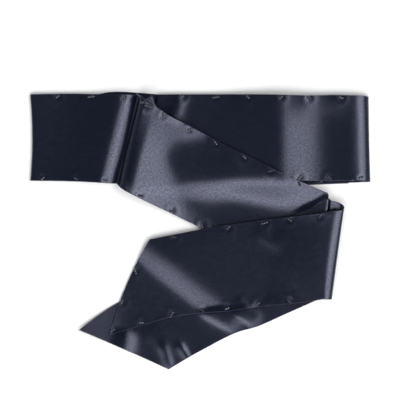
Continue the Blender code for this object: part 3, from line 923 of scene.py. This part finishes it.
class SashStudio(bpy.types.PropertyGroup):
    """Camera and lights."""

    width: setting("View width", "Width of the view at the sash", 0.512, 0.1, 2.0, unit="LENGTH")
    distance: setting("Camera height", "Camera's height above the sash", 8.0, 0.5, 20.0, unit="LENGTH")
    offset: setting("View offset", "How far behind the sash's centre the view's lies", 0.0397, -0.5, 0.5,
                    unit="LENGTH")
    right: setting("Right light", "Power of the softbox at the right", 520.0, 0.0, 5000.0, unit="POWER")
    front: setting("Front light", "Power of the softbox at the front", 460.0, 0.0, 5000.0, unit="POWER")


# ---- operators ----


def finish_stretch(name, grid, cut_end=False):
    if not np.isfinite(grid).all():
        raise RuntimeError(name + " has a point that isn't a number")
    places = bead_places(name, grid)
    grid = pucker(grid, places)
    grid[..., 2] = np.maximum(grid[..., 2], PLY / 2)
    piece = cloth_wall(name + "_cloth", grid, satin_material(), cut_end)
    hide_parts(name)
    beads = sew_beads(name, places) if places else None


class SASH_OT_lower_run(bpy.types.Operator):
    """The bottom run of the band: under ply, middle fold at the left, and top ply"""

    bl_idname = "sash.lower_run"
    bl_label = "Lower run"

    def execute(self, context):
        under = sections(UNDER_PLY, lambda x, y: np.full_like(x, level(1)))
        top = sections(LOWER_RUN, lower_run_height)
        roll = turn(under[0], top[0], MIDDLE_FOLD, side=-1.0)
        finish_stretch("lower_run", np.concatenate((under[:0:-1], roll, top[1:])))
        return {"FINISHED"}


class SASH_OT_band_layers(bpy.types.Operator):
    """The two plies hidden between the runs, with their fold inside the right-hand roll"""

    bl_idname = "sash.band_layers"
    bl_label = "Band layers"

    def execute(self, context):
        rows = np.array([(*row, 0.0) for row in BAND_LAYERS])
        below = sections(rows[:, (0, 2, 1, 3, 6)], lambda x, y: np.full_like(x, level(2)))
        above = sections(rows[:, (0, 4, 1, 5, 6)], lambda x, y: upper_run_height(x, y) - PITCH)
        roll = turn(below[-1], above[-1], LAYERS_FOLD)
        grid = np.concatenate((below[:-1], roll, above[-2::-1]))
        finish_stretch("band_layers", grid)
        return {"FINISHED"}


class SASH_OT_upper_run(bpy.types.Operator):
    """The run above it, with the roll at the right end that takes it down to the table"""

    bl_idname = "sash.upper_run"
    bl_label = "Upper run"

    def execute(self, context):
        top = sections(UPPER_RUN, upper_run_height)
        floor = at_level(top[-1], 1, RIGHT_SLIDE)
        roll = turn(floor, top[-1], RIGHT_FOLD, steps=RIGHT_STEPS, slumped=True)
        grid = np.concatenate((tuck(floor, 1.0, RIGHT_TUCK), roll, top[-2::-1]))
        finish_stretch("upper_run", grid)
        return {"FINISHED"}


def crossing_under_plan():
    """The second ply's plan: the crossing's, drawn in at edges and start, with the corner pulled out."""
    plan = sections(CROSSING, crossing_height)
    plan = plan[plan[:, 0, 0] < UNDER_END]
    width = unit(plan[:, -1] - plan[:, 0])
    plan[:, 0] += width * UNDER_INSET
    plan[:, -1] -= width * UNDER_INSET
    along = lengths((plan[:, :1] + plan[:, -1:]) / 2, 0)[:, 0]
    plan[..., 0] += UNDER_START * np.clip(1 - along / UNDER_START_LENGTH, 0.0, 1.0)[:, None]
    corner = np.array(CORNER)
    share = (1 - np.linspace(0.0, 1.0, plan.shape[1])) ** CORNER_POWER
    for axis in (0, 1):
        pulled = np.interp(along, corner[:, 0], corner[:, 1 + axis])
        edge = np.where(along < corner[-1, 0], pulled, plan[:, 0, axis])
        plan[..., axis] += (edge - plan[:, 0, axis])[:, None] * share
    return plan


def from_left_crease(top, number, slide, reach):
    """A ply that starts flat on its level, rolls up at the left crease and goes on as the given grid."""
    under = at_level(top[0], number, slide)
    roll = turn(under, top[0], reach, way=LEFT_ROLL_WAY, steps=LEFT_STEPS, slumped=True)
    return np.concatenate((tuck(under, -1.0, LEFT_TUCK), roll, top[1:]))


class SASH_OT_crossing(bpy.types.Operator):
    """The crossing: its second ply, with the corner at the left crease, and its top ply"""

    bl_idname = "sash.crossing"
    bl_label = "Crossing"

    def execute(self, context):
        plan = crossing_under_plan()
        top = np.dstack((plan[..., :2], crossing_under_height(plan[..., 0], plan[..., 1])))
        grid = from_left_crease(top, 4, LEFT_SLIDE_UNDER, LEFT_ROLL_UNDER)
        finish_stretch("crossing_under", grid)
        top = sections(CROSSING, crossing_height)
        tail_start = sections(INNER_TAIL, inner_tail_height)[0]
        end = turn(top[-1], tail_start, INNER_ROLL, end=-SEAM_ANGLE)
        grid = from_left_crease(np.concatenate((top[:-1], end)), 3, LEFT_SLIDE, LEFT_ROLL)
        finish_stretch("crossing", grid)
        return {"FINISHED"}


class SASH_OT_inner_tail(bpy.types.Operator):
    """The lower end of the sash, from the inner roll to its slanting cut"""

    bl_idname = "sash.inner_tail"
    bl_label = "Inner tail"

    def execute(self, context):
        top = sections(INNER_TAIL, inner_tail_height)
        crossing_end = sections(CROSSING, crossing_height)[-1]
        start = turn(crossing_end, top[0], INNER_ROLL, start=SEAM_ANGLE)
        finish_stretch("inner_tail", np.concatenate((start, top[1:])), cut_end=True)
        return {"FINISHED"}


class SASH_OT_outer_tail(bpy.types.Operator):
    """The upper end of the sash: floor ply, open roll at the right, and its slanting cut"""

    bl_idname = "sash.outer_tail"
    bl_label = "Outer tail"

    def execute(self, context):
        floor = sections(OUTER_FLOOR, crossing_under_height)
        top = sections(OUTER_TAIL, outer_tail_height)
        roll = turn(floor[-1], top[0], OUTER_ROLL, steps=OUTER_STEPS)
        grid = np.concatenate((floor[:-1], roll, top[1:]))
        finish_stretch("outer_tail", grid, cut_end=True)
        return {"FINISHED"}


def softbox(name, power, size, azimuth, tilt):
    """A rectangular light that looks at the sash from an azimuth and a tilt off the vertical."""
    data = bpy.data.lights.new(name, "AREA")
    data.shape = "RECTANGLE"
    data.size, data.size_y = size
    data.energy = power
    lamp = bpy.data.objects.new(name, data)
    a, t = np.radians(azimuth), np.radians(tilt)
    way = Vector((np.cos(a) * np.sin(t), np.sin(a) * np.sin(t), np.cos(t)))
    lamp.location = Vector(LIT_POINT) + way * BOX_DISTANCE
    lamp.rotation_euler = way.to_track_quat("Z", "Y").to_euler()
    lamp.visible_camera = False
    bpy.context.scene.collection.objects.link(lamp)


class SASH_OT_stage(bpy.types.Operator):
    """The pale floor, the soft lights, the dim room and the camera straight above"""

    bl_idname = "sash.stage"
    bl_label = "Stage"

    def execute(self, context):
        scene, studio = context.scene, context.scene.sash_studio
        around = ((-1, -1), (1, -1), (1, 1), (-1, 1))
        corners = [(a * FLOOR_HALF, b * FLOOR_HALF, -FLOOR_DROP) for a, b in around]
        mesh = bpy.data.meshes.new("floor")
        mesh.from_pydata(corners, [], [(0, 1, 2, 3)])
        mesh.materials.append(floor_material())
        floor = bpy.data.objects.new("floor", mesh)
        scene.collection.objects.link(floor)
        for name, azimuth, tilt, width, depth in SOFTBOXES:
            power = getattr(studio, name)
            softbox("softbox_" + name, power * width * depth / BOX_AREA, (width, depth), azimuth, tilt)
            softbox("softbox_inner_" + name, power * INNER_SHARE, INNER_SIZE, azimuth, tilt - INNER_TILT)
        world = bpy.data.worlds.new("studio")
        scene.world = world
        world.use_nodes = True
        tree = world.node_tree
        background = tree.nodes["Background"]
        background.inputs["Color"].default_value = SKY_COLOUR
        place = node(tree, "ShaderNodeTexCoord", -900, 0)
        split = node(tree, "ShaderNodeSeparateXYZ", -700, 0)
        tree.links.new(place.outputs["Generated"], split.inputs[0])
        strength = ranged(tree, split.outputs["Z"], -450, 0, SKY_HEIGHTS, SKY_STRENGTHS, smooth=True)
        tree.links.new(strength, background.inputs["Strength"])
        data = bpy.data.cameras.new("camera")
        data.sensor_width = SENSOR
        data.lens = SENSOR * studio.distance / studio.width
        data.clip_end = 50.0
        camera = bpy.data.objects.new("camera", data)
        camera.location = (0.0, studio.offset, studio.distance)
        scene.collection.objects.link(camera)
        scene.camera = camera
        scene.view_settings.view_transform = "Standard"
        return {"FINISHED"}


class SASH_PT_panel(bpy.types.Panel):
    """Builds the sash and its studio, piece by piece"""

    bl_idname = "SASH_PT_panel"
    bl_label = "Folded satin sash"
    bl_space_type = "VIEW_3D"
    bl_region_type = "UI"
    bl_category = "Sash"

    def draw(self, context):
        layout = self.layout
        for settings in (context.scene.sash_sizes, context.scene.sash_look, context.scene.sash_studio):
            box = layout.box()
            for name in settings.__annotations__:
                box.prop(settings, name)
        for operator in OPERATORS:
            layout.operator(operator.bl_idname)


OPERATORS = (
    SASH_OT_lower_run,
    SASH_OT_band_layers,
    SASH_OT_upper_run,
    SASH_OT_crossing,
    SASH_OT_inner_tail,
    SASH_OT_outer_tail,
    SASH_OT_stage,
)
SETTINGS = (("sash_sizes", SashSizes), ("sash_look", SashLook), ("sash_studio", SashStudio))


def register():
    for name, settings in SETTINGS:
        bpy.utils.register_class(settings)
        setattr(bpy.types.Scene, name, PointerProperty(type=settings))
    for made in (*OPERATORS, SASH_PT_panel):
        bpy.utils.register_class(made)


def unregister():
    for made in (SASH_PT_panel, *reversed(OPERATORS)):
        bpy.utils.unregister_class(made)
    for name, settings in reversed(SETTINGS):
        delattr(bpy.types.Scene, name)
        bpy.utils.unregister_class(settings)


def main():
    register()
    bpy.ops.sash.lower_run()
    bpy.ops.sash.band_layers()
    bpy.ops.sash.upper_run()
    bpy.ops.sash.crossing()
    bpy.ops.sash.inner_tail()
    bpy.ops.sash.outer_tail()
    bpy.ops.sash.stage()


if __name__ == "__main__":
    main()
